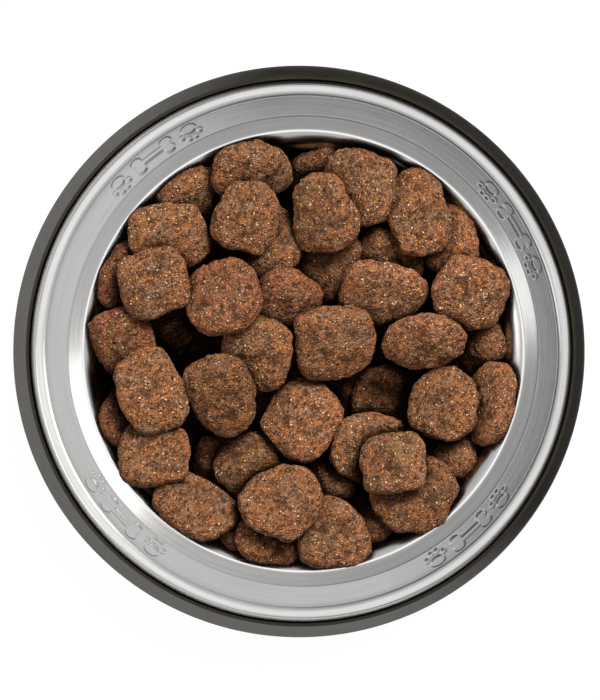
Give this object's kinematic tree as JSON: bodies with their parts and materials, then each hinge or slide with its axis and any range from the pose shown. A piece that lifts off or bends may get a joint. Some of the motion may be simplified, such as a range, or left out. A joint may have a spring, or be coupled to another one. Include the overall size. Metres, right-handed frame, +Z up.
{
  "type": "filled pet food bowl",
  "caption": "Round pressed steel pet bowl with a sloping skirt, held in a rubber foot ring, heaped with pillow-shaped dry kibble.",
  "frame": {"origin": "centre of the bowl, on the surface that it stands on", "axes": "+Z up, along the axis that the bowl is turned about; +Y towards the picture's upper edge"},
  "size_m": [0.165, 0.165, 0.0582],
  "materials": {
    "steel": "satin stainless steel, spun grain that runs round the bowl, bright on the rolled edges",
    "rubber": "matte black rubber with a fine grain",
    "kibble": "matte brown baked dry food, rough, with fine light and dark specks"
  },
  "bodies": {
    "root": {"steel_bowl": "steel", "rubber_ring": "rubber", "kibble_bed": "kibble", "kibble_01": "kibble", "kibble_02": "kibble", "kibble_03": "kibble", "kibble_04": "kibble", "kibble_05": "kibble", "kibble_06": "kibble", "kibble_07": "kibble", "kibble_08": "kibble", "kibble_09": "kibble", "kibble_10": "kibble", "kibble_11": "kibble", "kibble_12": "kibble", "kibble_13": "kibble", "kibble_14": "kibble", "kibble_15": "kibble", "kibble_16": "kibble", "kibble_17": "kibble", "kibble_18": "kibble", "kibble_19": "kibble", "kibble_20": "kibble", "kibble_21": "kibble", "kibble_22": "kibble", "kibble_23": "kibble", "kibble_24": "kibble", "kibble_25": "kibble", "kibble_26": "kibble", "kibble_27": "kibble", "kibble_28": "kibble", "kibble_29": "kibble", "kibble_30": "kibble", "kibble_31": "kibble", "kibble_32": "kibble", "kibble_33": "kibble", "kibble_34": "kibble", "kibble_35": "kibble", "kibble_36": "kibble", "kibble_37": "kibble", "kibble_38": "kibble", "kibble_39": "kibble", "kibble_40": "kibble", "kibble_41": "kibble", "kibble_42": "kibble", "kibble_43": "kibble", "kibble_44": "kibble", "kibble_45": "kibble", "kibble_46": "kibble", "kibble_47": "kibble", "kibble_48": "kibble", "kibble_49": "kibble", "kibble_50": "kibble", "kibble_51": "kibble"}
  },
  "joints": []
}
